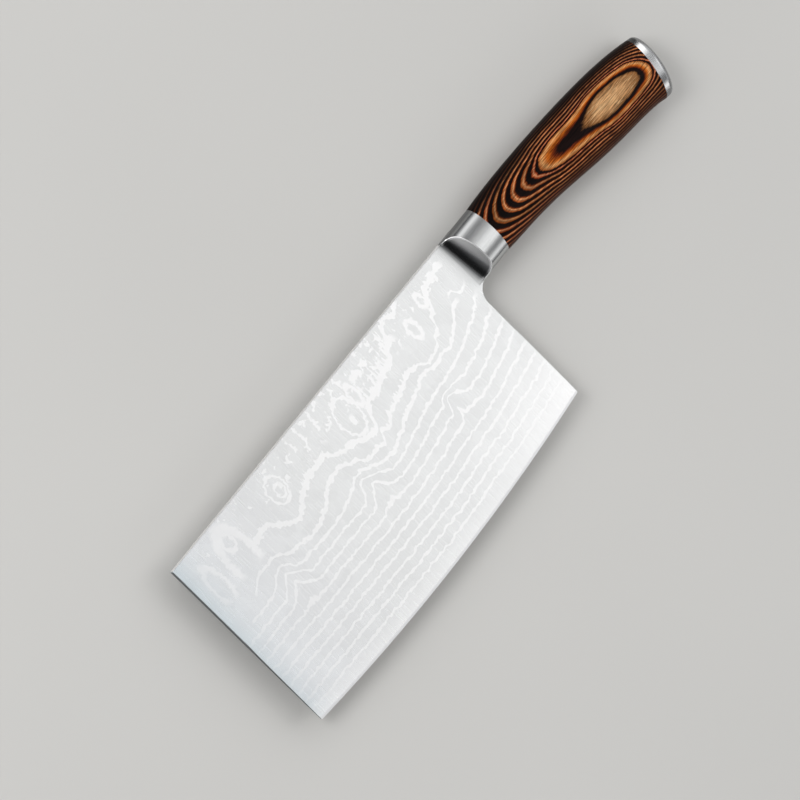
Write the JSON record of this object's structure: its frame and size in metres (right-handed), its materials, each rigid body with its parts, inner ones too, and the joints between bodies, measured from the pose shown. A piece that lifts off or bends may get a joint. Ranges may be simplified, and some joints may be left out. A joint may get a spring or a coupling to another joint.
{
  "type": "kitchen cleaver",
  "caption": "Chinese cleaver with a tall rectangular wave-etched blade, a scooped oval steel bolster, a curved laminated wood handle and a domed steel butt cap.",
  "frame": {"origin": "the knife lies on its right side: the middle of its length and height, at the plane that the handle lies on", "axes": "+X from the blade's front edge towards the butt, +Y from the cutting edge towards the spine, +Z out of the blade's left face"},
  "size_m": [0.3215, 0.0983, 0.0198],
  "materials": {
    "blade_steel": "satin ground, with a light wave etch",
    "fitting_steel": "satin brushed",
    "rod_steel": "plain turned",
    "laminated_wood": "polished, resin-filled laminate",
    "cured_resin": "as cast"
  },
  "bodies": {
    "root": {"blade": "blade_steel", "bolster": "fitting_steel", "tang_rod": "rod_steel", "handle_block": "laminated_wood", "resin_fill": "cured_resin", "tang_washer": "rod_steel", "tang_nut": "rod_steel", "butt_cap": "fitting_steel"}
  },
  "joints": []
}
